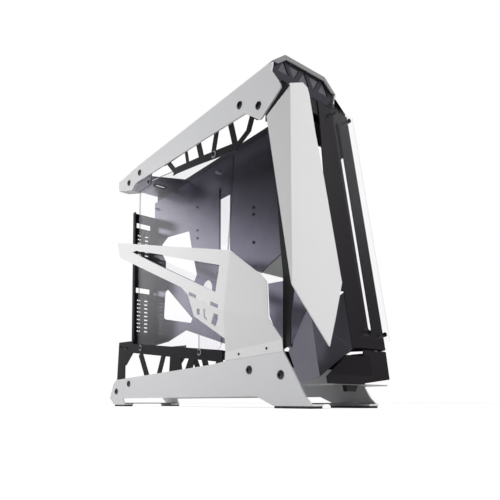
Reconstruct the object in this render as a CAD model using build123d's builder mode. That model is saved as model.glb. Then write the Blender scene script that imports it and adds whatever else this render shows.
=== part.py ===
from build123d import *
from math import cos, radians, sin
import os

# Open-frame full-tower computer case, in millimetres.
# The front looks along -Y, the left side along -X, and it stands on Z = 0.

# Overall sizes
body_width = 160.0
wing_flare = 48.0
bolt_head_height = 3.0
front_reach = 386.0
rear_reach = 389.8

# Sheets
side_sheet = 3.0
frame_sheet = 2.0
cover_sheet = 1.5
glass_sheet = 4.0
clear_sheet = 2.0
seat_gap = 0.3

# Sides of the small heads and of the ends of long holes
head_sides = 12
oval_sides = 12

half_span = (body_width + wing_flare + bolt_head_height) / 2
body_left = wing_flare - half_span
body_right = body_left + body_width
inner_left = body_left + side_sheet
inner_right = body_right - side_sheet

# Base plates and feet
pad_height = 4.0
pad_width = 22.0
pad_inset = 2.0
arch_height = 20.0
base_rear_height = 68.0
base_front_height = 104.0
base_toe_height = 41.0
front_foot_length = 92.0
rear_foot_length = 63.0
front_foot_end = -361.0
rear_foot_end = 363.0
foot_slope = 43.0
heel_slope = 11.0
foot_flange = 24.0
foot_tie_sheet = 2.0

# Top rails
rail_top = 597.0
rail_tail_drop = 6.0
rail_tail_height = 24.0
rail_tail_top = rail_top - rail_tail_drop
rail_tail_bottom = rail_tail_top - rail_tail_height
rail_end = 350.0
rail_front = -269.0
rail_nose_y = -290.0
rail_nose_z = 541.0
rail_toe_y = -238.0
rail_toe_z = 507.0
rail_front_web = 60.0
rail_rear_web = 42.0
rail_lower_front = rail_top - rail_front_web
rail_lower_rear = rail_top - rail_rear_web
rail_flange = 22.0
rail_crest_rear = 238.0

# Top hood
hood_rise = 23.0
hood_top = rail_top + hood_rise
hood_chamfer_x = 30.0
hood_back = -196.0
hood_drop = 29.0
hood_foot = rail_top - hood_drop
hood_rim = 3.0
lip_width = 8.0
lip_foot = 13.0
lip_sheet = 2.5
hood_recess = 5.0

# Leaning front
lean = 10.3
front_y = -375.0
front_z = 110.0
front_height = 438.0
bracket_left = body_left + 14.0
bracket_foot = -12.0
slot_width = 9.0
slot_length = 392.0
slot_foot = 20.0
slot_spacing = 105.0
slot_right = body_left + 126.0

# Middle wall
wall_x = body_left + 80.0
wall_top = 540.0
spine_width = 22.0
spine_height = 13.0
rear_panel_y = 304.0
rear_panel_top = 500.0
rear_panel_foot = 158.0
rear_panel_width = 63.0
slot_pitch = 20.32

front_plane = Plane(
    origin=(0, front_y, front_z),
    x_dir=(1, 0, 0),
    z_dir=(0, -cos(radians(lean)), sin(radians(lean))),
)


def flat(plane, corners, thickness, mode=Mode.ADD):
    """A flat sheet, or a cut, with this outline on a plane."""
    with BuildSketch(plane) as outline:
        with BuildLine():
            Polyline(*corners, close=True)
        make_face()
    extrude(outline.sketch, amount=thickness, mode=mode)


def strut(plane, start, end, width, thickness):
    """A straight bar of a lattice, cut from the same sheet as its chords."""
    with BuildSketch(plane) as bar:
        with BuildLine():
            Line(start, end)
        trace(line_width=width)
    extrude(bar.sketch, amount=thickness)


def facet_plane(corners):
    first, second, last = Vector(*corners[0]), Vector(*corners[1]), Vector(*corners[-1])
    return Plane(origin=first, x_dir=second - first, z_dir=(second - first).cross(last - first))


def facet(corners, thickness, mode=Mode.ADD, both=False):
    """A flat facet of a folded sheet, given by its corners in space."""
    plane = facet_plane(corners)
    flattened = [plane.to_local_coords(Vector(*corner)) for corner in corners]
    with BuildSketch(plane) as outline:
        with BuildLine():
            Polyline(*[(corner.X, corner.Y) for corner in flattened], close=True)
        make_face()
    extrude(outline.sketch, amount=thickness, both=both, mode=mode)


def bores(plane, places, radius, depth):
    """Round holes for screws at these places of a plane."""
    with BuildSketch(plane) as rounds:
        with Locations(*places):
            Circle(radius)
    extrude(rounds.sketch, amount=depth, mode=Mode.SUBTRACT)


def discs(plane, places, radius, thickness, mode=Mode.ADD, sides=head_sides):
    """Small discs or pockets with many sides, which read as round at their size."""
    with BuildSketch(plane) as rounds:
        with Locations(*places):
            RegularPolygon(radius, sides)
    extrude(rounds.sketch, amount=thickness, mode=mode)


def sockets(plane, places, radius, depth):
    """Hexagon sockets in the tops of button heads."""
    discs(plane, places, radius, -depth, Mode.SUBTRACT, 6)


def oval(length, width, rotation=0, mode=Mode.ADD):
    """A long hole with ends of many short sides."""
    with BuildSketch(mode=Mode.PRIVATE) as shape:
        Rectangle(length - width, width)
        with Locations((-(length - width) / 2, 0), ((length - width) / 2, 0)):
            RegularPolygon(width / 2, oval_sides)
    add(shape.sketch, rotation=rotation, mode=mode)


def on_front(x, height, offset=0.0):
    """A point of space from its place on the leaning front."""
    return front_plane.from_local_coords(Vector(x, height, offset))


# Base plates: one sheet a side, with an arch between its feet
base_outline = [
    (rear_reach, arch_height + 1),
    (rear_reach - 23, base_rear_height - 8),
    (rear_reach - 40, base_rear_height),
    (-88, base_rear_height + 15),
    (-133, base_rear_height + 19),
    (-141, base_front_height),
    (-284, base_front_height),
    (-295, base_front_height - 12),
    (-330, base_toe_height),
    (front_foot_end + 16, arch_height - 2),
    (front_foot_end, pad_height),
    (front_foot_end + front_foot_length, pad_height),
    (front_foot_end + front_foot_length + foot_slope, arch_height),
    (rear_foot_end - rear_foot_length + heel_slope, arch_height),
    (rear_foot_end - rear_foot_length, pad_height),
    (rear_foot_end, pad_height),
]
front_foot = (front_foot_end, front_foot_end + front_foot_length)
rear_foot = (rear_foot_end - rear_foot_length, rear_foot_end)
stay_top = base_rear_height + 12
stay_drop = 16.0


def base_plate(outer_x, inward):
    """One side plate with its foot flanges turned inward."""
    flat(Plane.YZ.offset(outer_x), base_outline, inward * side_sheet)
    for start, end in (front_foot, rear_foot):
        flange = [
            (outer_x, start),
            (outer_x + inward * foot_flange, start),
            (outer_x + inward * foot_flange, end),
            (outer_x, end),
        ]
        flat(Plane.XY.offset(pad_height), flange, side_sheet)


with BuildPart() as left_base_plate:
    base_plate(body_left, 1)

with BuildPart() as right_base_plate:
    base_plate(body_right, -1)

with BuildPart() as foot_ties:
    for start, end in (front_foot, rear_foot):
        tie = [
            (inner_left, start + 8),
            (inner_right, start + 8),
            (inner_right, end - 8),
            (inner_left, end - 8),
        ]
        flat(Plane.XY.offset(pad_height + side_sheet), tie, foot_tie_sheet)

with BuildPart() as foot_pads:
    with BuildSketch(Plane.XY) as pads:
        for start, end in (front_foot, rear_foot):
            for middle in (body_left + pad_width / 2 + 1, body_right - pad_width / 2 - 1):
                with Locations((middle, (start + end) / 2)):
                    Rectangle(pad_width, end - start - 2 * pad_inset)
    extrude(amount=pad_height)

# Top rails: folded beams with a rounded nose and a flange along the top
rail_outline = [
    (rail_end, rail_tail_top),
    (rail_end, rail_tail_bottom),
    (276, rail_lower_rear - 9),
    (251, rail_lower_rear + 3),
    (162, rail_lower_rear - 2),
    (-60, rail_lower_rear - 11),
    (-192, rail_lower_front),
    (-231, rail_toe_z + 2),
    (rail_toe_y, rail_toe_z),
    (rail_nose_y, rail_nose_z - 2),
    (rail_nose_y, rail_nose_z + 3),
    (rail_front + 4, 581),
    (rail_front, rail_top - 2),
    (rail_front + 14, rail_top),
    (rail_crest_rear, rail_top),
]


tail_flange = 25.0
tail_fold = [(rail_end, rail_tail_bottom), (276, rail_lower_rear - 9), (251, rail_lower_rear + 3)]


def top_rail(outer_x, inward):
    """A side rail with its top edge folded inward."""
    flat(Plane.YZ.offset(outer_x), rail_outline, inward * side_sheet)
    flange = [
        (outer_x, hood_back),
        (outer_x + inward * rail_flange, hood_back),
        (outer_x + inward * rail_flange, rail_crest_rear),
        (outer_x, rail_crest_rear),
    ]
    flat(Plane.XY.offset(rail_top), flange, -side_sheet)
    lip = tail_fold + [(y, z + frame_sheet) for y, z in reversed(tail_fold)]
    flat(Plane.YZ.offset(outer_x), lip, inward * (side_sheet + tail_flange))


with BuildPart() as left_top_rail:
    top_rail(body_left, 1)

with BuildPart() as right_top_rail:
    top_rail(body_right, -1)

# Power button and port block, in the flat top of the hood
button_radius = 5.7
button_clearance = 0.3
button_flange = 1.7
button_flange_height = 1.5
button_proud = 1.5
button_travel = 1.2
button_edge = 0.6
button_sides = 20
port_block_length = 92.0
port_block_width = 24.0
port_block_height = 12.0
port_middle_x = (body_left + body_right) / 2
port_middle_y = (rail_front + hood_back) / 2
button_x = port_middle_x - port_block_length / 2 + 14
usb_spacing = 19.0
usb_long = 13.4
usb_short = 5.8
jack_radius = 1.9
well_radius = button_radius + button_flange + button_clearance
well_depth = button_flange_height + button_travel + 2 * button_clearance
usb_places = [(button_x + 22 + usb_spacing * step, port_middle_y) for step in range(2)]
jack_places = [(port_middle_x + port_block_length / 2 - 18 + step * 9, port_middle_y) for step in range(2)]


def port_cuts(top, depth):
    """Openings of the sockets, cut down from this height."""
    with BuildSketch(Plane.XY.offset(top)) as sockets_outline:
        with Locations(*usb_places):
            Rectangle(usb_long, usb_short)
        with Locations(*jack_places):
            RegularPolygon(jack_radius, head_sides)
    extrude(sockets_outline.sketch, amount=-depth, mode=Mode.SUBTRACT)


# Top hood: a chamfered bridge over both rails at the front
hood_outline = [
    (body_left, rail_top),
    (body_left + hood_chamfer_x, hood_top),
    (body_right - hood_chamfer_x, hood_top),
    (body_right, rail_top),
]
hood_hollow = [
    (inner_left + 1, rail_top),
    (body_left + hood_chamfer_x + 1, hood_top - hood_rim),
    (body_right - hood_chamfer_x - 1, hood_top - hood_rim),
    (inner_right - 1, rail_top),
]
lip_hollow = [
    (body_left + lip_foot, rail_top),
    (body_left + hood_chamfer_x + lip_width / 3, hood_top - lip_width),
    (body_right - hood_chamfer_x - lip_width / 3, hood_top - lip_width),
    (body_right - lip_foot, rail_top),
]
hood_depth = hood_back - rail_front

with BuildPart() as top_hood:
    flat(Plane.XZ.offset(-hood_back), hood_outline, hood_depth)
    flat(Plane.XZ.offset(-hood_back), hood_hollow, hood_depth, Mode.SUBTRACT)
    flat(Plane.XZ.offset(-rail_front), hood_outline, -lip_sheet)
    flat(Plane.XZ.offset(-rail_front), lip_hollow, -lip_sheet, Mode.SUBTRACT)
    discs(Plane.XY.offset(hood_top), [(button_x, port_middle_y)], button_radius + button_clearance,
          -hood_rim, Mode.SUBTRACT, button_sides)
    port_cuts(hood_top, hood_rim)

with BuildPart() as port_block:
    with BuildSketch(Plane.XY.offset(hood_top - hood_rim)):
        with Locations((port_middle_x, port_middle_y)):
            Rectangle(port_block_length, port_block_width)
    extrude(amount=-port_block_height)
    discs(Plane.XY.offset(hood_top - hood_rim), [(button_x, port_middle_y)], well_radius,
          -well_depth, Mode.SUBTRACT, button_sides)
    port_cuts(hood_top - hood_rim, port_block_height - hood_rim)

button_seat = hood_top - hood_rim - button_clearance - button_flange_height
with BuildPart() as power_button:
    with BuildSketch(Plane.XY.offset(button_seat)):
        with Locations((button_x, port_middle_y)):
            RegularPolygon(button_radius + button_flange, button_sides)
    extrude(amount=button_flange_height)
    with BuildSketch(Plane.XY.offset(button_seat)):
        with Locations((button_x, port_middle_y)):
            RegularPolygon(button_radius, button_sides)
    extrude(amount=hood_top + button_proud - button_seat)
    chamfer(power_button.edges().group_by(Axis.Z)[-1], button_edge)

# Grille of the hood: a plate with a row of truss triangles, and the lip below it
grille_y = rail_front + hood_recess
truss_low = hood_top - 31
truss_high = hood_top - 10
truss_half_base = 13.5
truss_half_tip = 1.0
truss_pitch = 25.0
truss_start = body_left + 18.0
truss_count = 5
grille_outline = [
    (inner_left, hood_foot),
    (inner_left, rail_top),
    (inner_left + 1, rail_top),
    (body_left + hood_chamfer_x + 1, hood_top - hood_rim),
    (body_right - hood_chamfer_x - 1, hood_top - hood_rim),
    (inner_right - 1, rail_top),
    (inner_right, rail_top),
    (inner_right, hood_foot),
]

with BuildPart() as hood_grille:
    flat(Plane.XZ.offset(-grille_y), grille_outline, -frame_sheet)
    for step in range(truss_count):
        middle = truss_start + truss_pitch * (step + 0.5)
        base, tip = (truss_high, truss_low) if step % 2 else (truss_low, truss_high)
        triangle = [
            (middle - truss_half_base, base),
            (middle + truss_half_base, base),
            (middle + truss_half_tip, tip),
            (middle - truss_half_tip, tip),
        ]
        flat(Plane.XZ.offset(-grille_y), triangle, -frame_sheet, Mode.SUBTRACT)
    tongue = [
        (inner_left, rail_front + 1),
        (inner_right, rail_front + 1),
        (inner_right, grille_y),
        (inner_left, grille_y),
    ]
    flat(Plane.XY.offset(hood_foot), tongue, frame_sheet)

# Upper truss: the lattice that stiffens each top rail
chord_width = 14.0
strut_width = 11.0


def upper_truss(face_x, inward):
    plane = Plane.YZ.offset(face_x)
    sheet = inward * frame_sheet
    upper_chord = [
        (112, rail_lower_rear - 4),
        (112, rail_lower_rear + 18),
        (-232, rail_lower_front + 24),
        (-232, rail_lower_front - 24),
        (-222, rail_lower_front - 24),
        (-188, rail_lower_front + 4),
        (-60, rail_lower_rear - 8),
    ]
    lower_chord = [(62, 529), (74, 515), (56, 514), (-31, 502), (-162, 481), (-176, 496), (-149, 499), (-31, 517)]
    flat(plane, upper_chord, sheet)
    flat(plane, lower_chord, sheet)
    strut(plane, (100, rail_lower_rear + 2), (66, 523), strut_width, sheet)
    strut(plane, (21, rail_lower_rear), (11, 518), strut_width - 2, sheet)
    strut(plane, (-27, rail_lower_rear), (-42, 512), strut_width + 4, sheet)
    strut(plane, (-99, rail_lower_rear), (-84, 504), strut_width + 3, sheet)
    strut(plane, (-138, rail_lower_rear), (-158, 492), strut_width + 3, sheet)
    strut(plane, (-212, rail_lower_front - 4), (-197, 502), strut_width + 3, sheet)
    strut(plane, (-199, 504), (-165, 490), strut_width, sheet)


with BuildPart() as left_upper_truss:
    upper_truss(inner_left, 1)

with BuildPart() as right_upper_truss:
    upper_truss(inner_right, -1)

# Lower truss: beam, braces and rear post, standing behind each base plate
beam_rear_top = 155.0
beam_front_top = 109.0
beam_drop = 23.0
beam_front_y = -119.0
beam_rear_y = 264.0


def lower_truss(face_x, inward):
    plane = Plane.YZ.offset(face_x)
    sheet = inward * frame_sheet
    beam = [
        (beam_rear_y, beam_rear_top),
        (beam_front_y, beam_front_top),
        (beam_front_y, beam_front_top - beam_drop),
        (beam_rear_y, beam_rear_top - beam_drop),
    ]
    post = [
        (344, 165),
        (356, base_rear_height - 20),
        (308, base_rear_height - 20),
        (308, 102),
        (298, 106),
        (beam_rear_y, beam_rear_top - beam_drop),
        (beam_rear_y, 162),
    ]
    lower_chord = [
        (308, base_rear_height - 20),
        (308, base_rear_height - 4),
        (beam_front_y, base_rear_height + 10),
        (beam_front_y, base_rear_height - 12),
    ]
    flat(plane, beam, sheet)
    flat(plane, post, sheet)
    flat(plane, lower_chord, sheet)
    strut(plane, (223, 128), (187, 70), 19, sheet)
    strut(plane, (108, 118), (133, 68), 17, sheet)
    strut(plane, (55, 110), (47, 70), 37, sheet)
    strut(plane, (-14, 105), (10, 68), 22, sheet)
    strut(plane, (-54, 100), (-68, 68), 17, sheet)
    strut(plane, (beam_front_y + 6, 100), (beam_front_y + 6, 68), 12, sheet)


with BuildPart() as left_lower_truss:
    lower_truss(inner_left, 1)

with BuildPart() as right_lower_truss:
    lower_truss(inner_right, -1)

# Top rear plate: sheet between the rails, with its sides folded down and cable holes
top_plate_z = wall_top + spine_height
top_plate_rear = 287.0
oval_long = 34.0
oval_short = 15.0
oval_places = [(wall_x - 27, 224), (wall_x + 46, 246)]
top_plate_outline = [
    (inner_left + frame_sheet, 189),
    (wall_x + 2, 152),
    (wall_x + 32, 182),
    (wall_x + 62, 240),
    (inner_right - frame_sheet, 244),
    (inner_right - frame_sheet, 248),
    (inner_right - tail_flange - seat_gap, 249),
    (inner_right - tail_flange - seat_gap, top_plate_rear),
    (inner_left + tail_flange + seat_gap, top_plate_rear),
    (inner_left + tail_flange + seat_gap, 249),
    (inner_left + frame_sheet, 248),
]


def side_fold(face_x, inward):
    fold = [(176, 531), (248, 531), (248, 574), (176, 574)]
    flat(Plane.YZ.offset(face_x), fold, inward * frame_sheet)


with BuildPart() as top_rear_plate:
    flat(Plane.XY.offset(top_plate_z), top_plate_outline, frame_sheet)
    side_fold(inner_left, 1)
    side_fold(inner_right, -1)
    with BuildSketch(Plane.XY.offset(top_plate_z)):
        with Locations(*oval_places):
            oval(oval_long, oval_short)
    extrude(amount=frame_sheet, mode=Mode.SUBTRACT)

grommet_wall = 2.2
grommet_lip = 1.5
with BuildPart() as cable_grommets:
    for place in oval_places:
        with BuildSketch(Plane.XY.offset(top_plate_z)):
            with Locations(place):
                oval(oval_long, oval_short)
                oval(oval_long - 2 * grommet_wall, oval_short - 2 * grommet_wall, mode=Mode.SUBTRACT)
        extrude(amount=frame_sheet)
        with BuildSketch(Plane.XY.offset(top_plate_z)):
            with Locations(place):
                oval(oval_long + 2 * grommet_lip, oval_short + 2 * grommet_lip)
                oval(oval_long - 2 * grommet_wall, oval_short - 2 * grommet_wall, mode=Mode.SUBTRACT)
        extrude(amount=-grommet_lip)

# Spine: a folded angle along the top of the middle wall
header_front = -284.0
header_depth = 38.0
header_back = header_front + header_depth
with BuildPart() as top_spine:
    spine = [
        (wall_x, wall_top),
        (wall_x + frame_sheet, wall_top),
        (wall_x + frame_sheet, top_plate_z - frame_sheet),
        (wall_x + spine_width, top_plate_z - frame_sheet),
        (wall_x + spine_width, top_plate_z),
        (wall_x, top_plate_z),
    ]
    flat(Plane.XZ.offset(-top_plate_rear), spine, top_plate_rear - header_back)

# Motherboard tray with its cable cut-outs
board_hole_y = 281.94
board_hole_z = 227.33
board_top_hole = 520.0
standoff_radius = 3.2
standoff_height = 6.5
standoff_bore = 1.5
tray_rear = rear_panel_y - frame_sheet
board_rear_inset = 13.0
board_rear_hole = tray_rear - board_rear_inset
tray_front = -36.0
cable_hole_radius = 20.0
cable_hole = (50.0, 266.0)
tray_outline = [
    (tray_rear, wall_top),
    (tray_front, wall_top),
    (tray_front, 457),
    (0, 457),
    (0, 346),
    (tray_front, 330),
    (tray_front, 262),
    (0, 232),
    (8, 180),
    (-30, 150),
    (-30, 136),
    (-18, 136),
    (140, 182),
    (228, 162),
    (tray_rear, rear_panel_foot),
]
cooler_window = [
    (262, 419), (232, 431), (129, 420), (117, 378), (93, 308),
    (104, 293), (243, 353), (243, 371), (262, 394),
]
drive_window = [(229, 296), (112, 207), (118, 197), (242, 221), (250, 227), (244, 291)]
strip_bolts = [(89, 466), (89, 411), (89, 392)]

with BuildPart() as motherboard_tray:
    flat(Plane.YZ.offset(wall_x), tray_outline, frame_sheet)
    flat(Plane.YZ.offset(wall_x), cooler_window, frame_sheet, Mode.SUBTRACT)
    flat(Plane.YZ.offset(wall_x), drive_window, frame_sheet, Mode.SUBTRACT)
    discs(Plane.YZ.offset(wall_x), [cable_hole], cable_hole_radius, frame_sheet, Mode.SUBTRACT, 24)

standoff_places = [
    (board_rear_hole - y, board_top_hole - z) for y in (0, board_hole_y) for z in (0, board_hole_z)
]
with BuildPart() as board_standoffs:
    discs(Plane.YZ.offset(wall_x), standoff_places, standoff_radius, -standoff_height, sides=6)
    bores(Plane.YZ.offset(wall_x), standoff_places, standoff_bore, -standoff_height)

# Strip folded over the front edge of the tray, on the side of the board
with BuildPart() as tray_strip:
    strip = [(97, 346), (0, 346), (0, 484), (97, 484)]
    flat(Plane.YZ.offset(wall_x), strip, -frame_sheet)

drive_hole_y = 76.6
drive_hole_z = 61.7
with BuildPart() as drive_plate:
    with BuildSketch(Plane.YZ.offset(wall_x + frame_sheet)):
        with Locations((200, 484)):
            Rectangle(120, 92)
            with GridLocations(drive_hole_y, drive_hole_z, 2, 2):
                Circle(2, mode=Mode.SUBTRACT)
    extrude(amount=frame_sheet)

# Rear panel with two pairs of upright slots
panel_left = wall_x + frame_sheet - rear_panel_width
slot_opening = 12.7
slot_height = 104.0
slot_gap_height = 13.0
slot_gap_edge = 3.0
cover_overlap = 6.0
upper_slot_foot = 352.0
lower_slot_foot = 182.0
slot_middle = panel_left + 18.5
slot_columns = [slot_middle, slot_middle + slot_pitch]
panel_fold = 12.0
with BuildPart() as rear_panel:
    panel = [
        (panel_left, rear_panel_top),
        (wall_x + frame_sheet, rear_panel_top),
        (wall_x + frame_sheet, rear_panel_foot),
        (panel_left + 14, rear_panel_foot),
        (panel_left + 8, 147),
        (inner_left + frame_sheet, 147),
        (inner_left + frame_sheet, rear_panel_foot + 5),
        (panel_left, rear_panel_foot + 5),
    ]
    flat(Plane.XZ.offset(-rear_panel_y), panel, frame_sheet)
    with BuildSketch(Plane.XZ.offset(-rear_panel_y)) as slots:
        for foot in (upper_slot_foot, lower_slot_foot):
            with Locations(*[(x, foot + slot_height / 2) for x in slot_columns]):
                Rectangle(slot_opening, slot_height)
            gap_middle = foot + slot_height + cover_overlap + 1 + slot_gap_height / 2
            with Locations((slot_middle + slot_pitch / 2, gap_middle)):
                Rectangle(slot_pitch + slot_opening + 2 * slot_gap_edge, slot_gap_height)
    extrude(slots.sketch, amount=frame_sheet, mode=Mode.SUBTRACT)
    edge_fold = [
        (panel_left, rear_panel_y - frame_sheet),
        (panel_left + frame_sheet, rear_panel_y - frame_sheet),
        (panel_left + frame_sheet, rear_panel_y - panel_fold),
        (panel_left, rear_panel_y - panel_fold),
    ]
    flat(Plane.XY.offset(rear_panel_foot + 5), edge_fold, rear_panel_top - rear_panel_foot - 5)

# Slot covers: long vented blanks screwed over the slots
cover_width = 18.4
slot_cover_sheet = 1.0
vent_width = 3.0
vent_pitch = 10.0
vent_count = 9


def slot_covers(foot):
    height = slot_height + 2 * cover_overlap
    with BuildSketch(Plane.XZ.offset(-rear_panel_y)) as blanks:
        for x in slot_columns:
            with Locations((x, foot + slot_height / 2)):
                Rectangle(cover_width, height)
                with GridLocations(0, vent_pitch, 1, vent_count):
                    Rectangle(cover_width / 2, vent_width, mode=Mode.SUBTRACT)
    extrude(blanks.sketch, amount=-slot_cover_sheet)


with BuildPart() as upper_slot_covers:
    slot_covers(upper_slot_foot)

with BuildPart() as lower_slot_covers:
    slot_covers(lower_slot_foot)

# Front frame: a sheet on each side that ties base, rail and radiator bracket
bracket_back = -frame_sheet
front_top = on_front(0, front_height, bracket_back)
front_bottom = on_front(0, bracket_foot, bracket_back)


side_foot = [
    (front_bottom.Y, front_bottom.Z),
    (-302, 101),
    (-292, 97),
    (-290, 62),
    (-272, 62),
    (-272, 108),
    (-290, 112),
    (-290, 230),
    (header_back, 500),
    (header_back, top_plate_z),
]
head_back = rail_front - seat_gap
head_top = 586.0
side_head_right = [
    (head_back, top_plate_z),
    (head_back, head_top),
    (head_back - frame_sheet, head_top),
    (front_top.Y, front_top.Z + 6),
    (front_top.Y, front_top.Z),
]
side_head_left = [(-290, top_plate_z), (-302, 542), (-259, 508), (-263, 503), (-309, 466)]
lead_hole = (-297, 108)
lead_hole_radius = 3.0

# Long window in the right side sheet, beside the radiator slot
frame_window_near = 16.0
frame_window_far = 42.0
frame_window_foot = 12.0
frame_window_top = 365.0
frame_window = [
    on_front(0, frame_window_foot, -frame_window_near),
    on_front(0, frame_window_top, -frame_window_near),
    on_front(0, frame_window_top, -frame_window_far),
    on_front(0, frame_window_foot, -frame_window_far),
]


def front_side(face_x, inward, head):
    """The side sheet; the left one is cut back where the wing folds past it."""
    plane = Plane.YZ.offset(face_x)
    flat(plane, side_foot + head, inward * frame_sheet)
    discs(plane, [lead_hole], lead_hole_radius, inward * frame_sheet, Mode.SUBTRACT)


with BuildPart() as left_front_frame:
    front_side(inner_left, 1, side_head_left)

with BuildPart() as right_front_frame:
    front_side(inner_right, -1, side_head_right)
    window_corners_right = [(corner.Y, corner.Z) for corner in frame_window]
    flat(Plane.YZ.offset(inner_right), window_corners_right, -frame_sheet, Mode.SUBTRACT)

frame_left = inner_left + frame_sheet
frame_right = inner_right - frame_sheet

with BuildPart() as front_header:
    header = [
        (header_back, wall_top),
        (header_back, top_plate_z),
        (header_front, top_plate_z),
        (header_front, wall_top),
        (header_front + frame_sheet, wall_top),
        (header_front + frame_sheet, top_plate_z - frame_sheet),
        (header_back - frame_sheet, top_plate_z - frame_sheet),
        (header_back - frame_sheet, wall_top),
    ]
    flat(Plane.YZ.offset(frame_left), header, frame_right - frame_left)

footer_front = -290.0
footer_back = -274.0
footer_top = 94.0
footer_height = 26.0
with BuildPart() as front_footer:
    footer = [
        (footer_back, footer_top),
        (footer_front, footer_top),
        (footer_front, footer_top - footer_height),
        (footer_front + frame_sheet, footer_top - footer_height),
        (footer_front + frame_sheet, footer_top - frame_sheet),
        (footer_back, footer_top - frame_sheet),
    ]
    flat(Plane.YZ.offset(frame_left), footer, frame_right - frame_left)

# Radiator bracket on the leaning front, with its long slots
bracket_right = inner_right + frame_sheet
bracket_fold = 17.0
fold_height = 402.0
slot_left = slot_right - slot_spacing
left_slot_foot = 96.0
with BuildPart() as radiator_bracket:
    bracket = [
        (bracket_right, bracket_foot),
        (bracket_right, front_height),
        (bracket_left, front_height),
        (bracket_left, left_slot_foot - 14),
        (body_left + 93, left_slot_foot - 14),
        (body_left + 83, bracket_foot),
    ]
    flat(front_plane, bracket, -frame_sheet)
    with BuildSketch(front_plane) as openings:
        with Locations((slot_right, slot_foot + slot_length / 2)):
            oval(slot_length, slot_width, 90)
        with Locations((slot_left, (left_slot_foot + slot_foot + slot_length) / 2)):
            oval(slot_foot + slot_length - left_slot_foot, slot_width, 90)
    extrude(openings.sketch, amount=-frame_sheet, mode=Mode.SUBTRACT)
    airway = [
        (slot_left + 14, left_slot_foot),
        (body_left + 66, left_slot_foot),
        (body_left + 66, 280),
        (body_left + 80, 295),
        (body_left + 80, slot_foot + slot_length),
        (slot_left + 14, slot_foot + slot_length),
    ]
    flat(front_plane, airway, -frame_sheet, Mode.SUBTRACT)
    fold = [
        (inner_right, bracket_foot),
        (bracket_right, bracket_foot),
        (bracket_right, fold_height),
        (inner_right, fold_height),
    ]
    flat(front_plane, fold, -bracket_fold)
    top_fold = [
        (bracket_left, front_top.Y - frame_sheet / 2),
        (frame_right, front_top.Y - frame_sheet / 2),
        (frame_right, header_front),
        (bracket_left, header_front),
    ]
    flat(Plane.XY.offset(front_top.Z - frame_sheet), top_fold, frame_sheet)

# Front strip: dark blade beside the wing, lying on the bracket
strip_left = body_left + 46.0
strip_foot = 76.0
with BuildPart() as front_strip:
    blade = [
        (strip_left, strip_foot + 10),
        (body_left + 91, strip_foot),
        (body_left + 93, 281),
        (body_left + 98, front_height + 2),
        (body_left + 79, front_height + 2),
        (body_left + 78, slot_foot + slot_length),
        (body_left + 67, 297),
        (strip_left, 284),
    ]
    flat(front_plane, blade, frame_sheet)

# Clear sheet in front of the bracket, on four spacers
spacer_radius = 4.0
clear_stand = 8.0
clear_left = body_left + 100.0
clear_places = [
    (clear_left + 9, 12),
    (bracket_right - 9, 12),
    (clear_left + 9, front_height - 18),
    (bracket_right - 9, front_height - 18),
]
with BuildPart() as clear_spacers:
    discs(front_plane, clear_places, spacer_radius, clear_stand)

with BuildPart() as clear_sheet_front:
    clear = [
        (clear_left, 2),
        (bracket_right + 4, 2),
        (bracket_right + 4, front_height - 8),
        (clear_left + 6, front_height - 2),
    ]
    flat(front_plane.offset(clear_stand), clear, clear_sheet)

with BuildPart() as clear_screws:
    discs(front_plane.offset(clear_stand + clear_sheet), clear_places, spacer_radius, 1.6)
    sockets(front_plane.offset(clear_stand + clear_sheet + 1.6), clear_places, 1.7, 1.0)

# Wing: one long folded blade that flares past the left side
wing_sheet = 2.0
wing_stand = 6.0
wing_fold_top = on_front(body_left + 10, 437, wing_stand)
wing_fold_foot = on_front(body_left - wing_flare, 74, wing_stand)
wing_front = [
    wing_fold_foot,
    on_front(body_left - 34, 53, wing_stand),
    on_front(body_left + 14, -17, wing_stand),
    on_front(body_left + 38, 33, wing_stand),
    on_front(body_left + 65, 93, wing_stand),
    on_front(body_left + 60, 279, wing_stand),
    on_front(body_left + 56, 361, wing_stand),
    on_front(body_left + 55, 438, wing_stand),
    on_front(body_left + 53, 450, wing_stand),
    on_front(body_left + 43, 456, wing_stand),
    on_front(body_left + 9, 440, wing_stand),
    wing_fold_top,
]
wing_side_top = Vector(body_left - 3, -256, 503)
wing_side = [wing_fold_top, wing_fold_foot, Vector(body_left - wing_flare, -365, 185), wing_side_top]
with BuildPart() as left_wing:
    facet([tuple(p) for p in wing_front], -wing_sheet)
    facet([tuple(p) for p in wing_side], wing_sheet)

# Spacers between the wing, the front strip and the head of the bracket
wing_spacer_radius = 4.0
with BuildPart() as wing_spacers:
    with BuildSketch(front_plane.offset(frame_sheet)) as seats:
        with Locations((strip_left + 5, 120), (strip_left + 5, 250)):
            RegularPolygon(wing_spacer_radius, head_sides)
    extrude(seats.sketch, amount=wing_stand - wing_sheet - frame_sheet)
    discs(front_plane, [(strip_left + 1, front_height - 13)], wing_spacer_radius, wing_stand - wing_sheet)

# Side cover: a low-poly folded shell with a long rear blade
cover_depth = 42.0
cover_x = body_left - cover_sheet
fold_top = (body_left - 40, -202, 274)
fold_middle = (body_left - cover_depth, -185, 170)
front_high = (body_left - 27, -267, 222)
front_step = (body_left - 24, -281, 207)
ridge_front = (body_left - 23, -283, 146)
flange_front = (cover_x, -293, 114)
flange_rear = (cover_x, -135, 104)
blade_tip_top = (body_left - 18, 312, 416)
blade_tip_foot = (body_left - 20, 297, 375)
blade_heel = (body_left - 35, -29, 240)
relief_rear = (body_left - 36, -57, 220)
skirt_rear = (body_left - 17, -49, 181)
window_corners = [
    (body_left - 22, 219, 370),
    (body_left - 23, 199, 369),
    (body_left - 29, 67, 329),
    (body_left - 35, -74, 284),
    (body_left - 39, -169, 255),
    (body_left - 40, -157, 208),
    (body_left - 40, -146, 213),
    (body_left - 30, 50, 296),
]


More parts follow.
